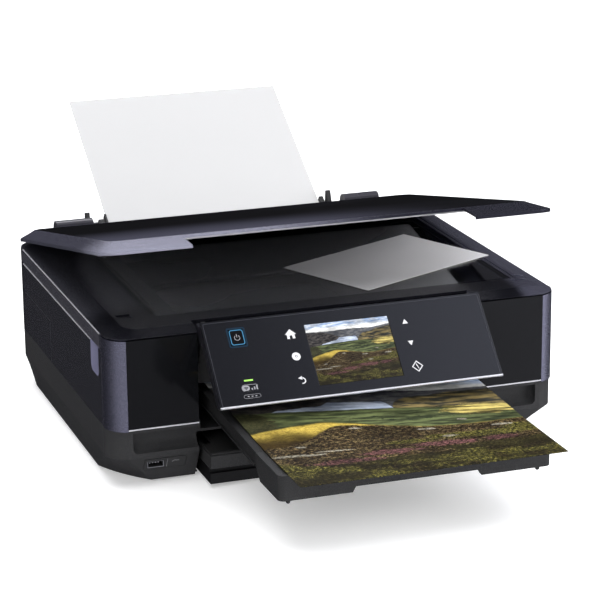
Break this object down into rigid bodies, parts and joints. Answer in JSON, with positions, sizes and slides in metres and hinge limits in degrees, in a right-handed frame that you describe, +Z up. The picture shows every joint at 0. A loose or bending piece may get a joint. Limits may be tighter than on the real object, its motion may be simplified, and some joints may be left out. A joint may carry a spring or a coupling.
{
  "type": "inkjet printer",
  "caption": "Compact all-in-one inkjet printer with an open flatbed lid, a tilting touch panel, an extended output tray, paper cassettes and a sheet in the rear feed.",
  "frame": {"origin": "centre of the whole part's footprint, on the table", "axes": "+X to the printer's right seen from the front, +Y from the front to the back, +Z up"},
  "size_m": [0.391, 0.6968, 0.2158],
  "materials": {
    "gloss_black": "glossy piano black",
    "blue_violet_satin": "blue-violet metallic satin",
    "body_black": "semi-gloss black",
    "matte_black": "fine-textured matte black",
    "tray_grey": "fine-textured dark grey",
    "bright_trim": "polished silver line",
    "flatbed_glass": "clear glass over a dark scanner",
    "display_glass": "lit display behind glossy cover",
    "paper": "plain and printed paper",
    "white_foam": "white foam-backed sheet",
    "steel": "plain pressed steel",
    "rubber": "black rubber",
    "gear_white": "natural acetal",
    "inner_grey": "plain moulded dark grey",
    "circuit_board": "green circuit board"
  },
  "bodies": {
    "base": {"base_tray": "matte_black", "feet": "rubber", "screws": "steel", "usb_port": "matte_black", "left_side_panel": "gloss_black", "right_side_panel": "gloss_black", "power_inlet": "matte_black", "rear_panel": "gloss_black", "front_panels": "gloss_black", "corner_pillars": "blue_violet_satin", "base_trims": "bright_trim", "front_bulkhead": "matte_black", "tray_deck": "matte_black", "chassis": "steel", "carriage_rail": "steel", "carriage_belt": "rubber", "platen": "inner_grey", "drive_motors": "steel", "cap_station": "inner_grey", "power_supply": "steel", "main_board": "circuit_board", "rear_feed_chute": "inner_grey", "rear_flap": "matte_black", "scanner_hinge_brackets": "steel"},
    "duplex_cover": {"duplex_cover": "gloss_black"},
    "feed_roller": {"feed_roller": "rubber"},
    "pinch_rollers": {"pinch_rollers": "rubber"},
    "exit_roller": {"exit_roller": "rubber"},
    "idler_gear": {"idler_gear": "gear_white"},
    "motor_pinion": {"motor_pinion": "gear_white"},
    "carriage": {"print_carriage": "inner_grey", "ink_cartridges": "inner_grey"},
    "drive_pulley": {"drive_pulley": "gear_white"},
    "idler_pulley": {"idler_pulley": "gear_white"},
    "output_tray": {"tray_plate": "tray_grey", "tray_cap": "tray_grey"},
    "printed_sheet": {"printed_sheet": "paper"},
    "main_cassette": {"main_cassette": "matte_black"},
    "cassette_guide": {"cassette_guide": "matte_black"},
    "photo_cassette": {"photo_cassette": "matte_black", "photo_cassette_cover": "tray_grey"},
    "rear_sheet": {"rear_sheet": "paper"},
    "paper_support": {"paper_support": "matte_black"},
    "edge_guide": {"sliding_edge_guide": "matte_black"},
    "control_panel": {"control_panel_housing": "body_black", "control_panel_glass": "gloss_black", "display": "display_glass", "control_panel_trim": "bright_trim"},
    "power_button": {"power_button": "gloss_black"},
    "scanner_unit": {"scanner_housing": "body_black", "scanner_frame": "blue_violet_satin", "scanner_trims": "bright_trim", "scan_glass": "flatbed_glass", "document": "paper"},
    "scan_bar": {"scan_bar": "inner_grey"},
    "lid": {"lid_bezel": "blue_violet_satin", "lid_panel": "gloss_black", "lid_mat": "white_foam", "lid_hinge_covers": "body_black", "lid_hinge_pins": "steel"}
  },
  "joints": [
    {"name": "lid_hinge", "type": "hinge", "parent": "scanner_unit", "child": "lid", "pos_m": [0, 0.17772, 0.134], "axis": [-1, 0, 0], "range_deg": [-12, 68]},
    {"name": "scanner_unit_hinge", "type": "hinge", "parent": "base", "child": "scanner_unit", "pos_m": [0, 0.17672, 0.13], "axis": [-1, 0, 0], "range_deg": [0, 35]},
    {"name": "control_panel_tilt", "type": "hinge", "parent": "base", "child": "control_panel", "pos_m": [0, -0.14428, 0.13], "axis": [-1, 0, 0], "range_deg": [-8, 30]},
    {"name": "power_button_press", "type": "slide", "parent": "control_panel", "child": "power_button", "axis": [0, 0.7193, -0.6947], "range_m": [0, 0.001], "stiffness_N_per_m": 400},
    {"name": "output_tray_slide", "type": "slide", "parent": "base", "child": "output_tray", "axis": [0, -1, 0], "range_m": [-0.15, 0]},
    {"name": "printed_sheet_slide", "type": "slide", "parent": "base", "child": "printed_sheet", "axis": [0, -1, 0], "range_m": [0, 0.1]},
    {"name": "main_cassette_slide", "type": "slide", "parent": "base", "child": "main_cassette", "axis": [0, -1, 0], "range_m": [0, 0.16]},
    {"name": "cassette_guide_slide", "type": "slide", "parent": "main_cassette", "child": "cassette_guide", "axis": [-1, 0, 0], "range_m": [0, 0.05]},
    {"name": "photo_cassette_slide", "type": "slide", "parent": "base", "child": "photo_cassette", "axis": [0, -1, 0], "range_m": [0, 0.12]},
    {"name": "rear_sheet_pull", "type": "slide", "parent": "base", "child": "rear_sheet", "axis": [0, 0.8387, 0.5446], "range_m": [0, 0.2]},
    {"name": "paper_support_slide", "type": "slide", "parent": "base", "child": "paper_support", "axis": [0, 0.8387, 0.5446], "range_m": [0, 0.04]},
    {"name": "edge_guide_slide", "type": "slide", "parent": "base", "child": "edge_guide", "axis": [-1, 0, 0], "range_m": [0, 0.008]},
    {"name": "duplex_cover_pull", "type": "slide", "parent": "base", "child": "duplex_cover", "axis": [0, 1, 0], "range_m": [0, 0.045]},
    {"name": "carriage_slide", "type": "slide", "parent": "base", "child": "carriage", "axis": [1, 0, 0], "range_m": [-0.26, 0]},
    {"name": "drive_pulley_spin", "type": "hinge", "parent": "base", "child": "drive_pulley", "pos_m": [0.15, 0.03472, 0.1], "axis": [0, 0, 1], "range_deg": [-2500, 10]},
    {"name": "idler_pulley_spin", "type": "hinge", "parent": "base", "child": "idler_pulley", "pos_m": [-0.15, 0.03472, 0.1], "axis": [0, 0, 1], "range_deg": [-2500, 10]},
    {"name": "feed_roller_spin", "type": "hinge", "parent": "base", "child": "feed_roller", "pos_m": [0, 0.02772, 0.0778], "axis": [1, 0, 0], "continuous": true},
    {"name": "exit_roller_spin", "type": "hinge", "parent": "base", "child": "exit_roller", "pos_m": [0, -0.04428, 0.0778], "axis": [1, 0, 0], "continuous": true},
    {"name": "idler_gear_spin", "type": "hinge", "parent": "base", "child": "idler_gear", "pos_m": [-0.177, -0.00828, 0.0778], "axis": [1, 0, 0], "continuous": true},
    {"name": "motor_pinion_spin", "type": "hinge", "parent": "base", "child": "motor_pinion", "pos_m": [-0.177, 0.02772, 0.0538], "axis": [1, 0, 0], "continuous": true},
    {"name": "pinch_rollers_spin", "type": "hinge", "parent": "base", "child": "pinch_rollers", "pos_m": [0, 0.02772, 0.0879], "axis": [1, 0, 0], "continuous": true},
    {"name": "scan_bar_slide", "type": "slide", "parent": "scanner_unit", "child": "scan_bar", "axis": [1, 0, 0], "range_m": [0, 0.28]}
  ],
  "couplings": [
    {"joint": "drive_pulley_spin", "follows": "carriage_slide", "rad_per_m": 166.67},
    {"joint": "idler_pulley_spin", "follows": "carriage_slide", "rad_per_m": 166.67},
    {"joint": "exit_roller_spin", "follows": "feed_roller_spin", "ratio": 1},
    {"joint": "idler_gear_spin", "follows": "feed_roller_spin", "ratio": -1},
    {"joint": "motor_pinion_spin", "follows": "feed_roller_spin", "ratio": -3},
    {"joint": "pinch_rollers_spin", "follows": "feed_roller_spin", "ratio": -1.7143}
  ]
}
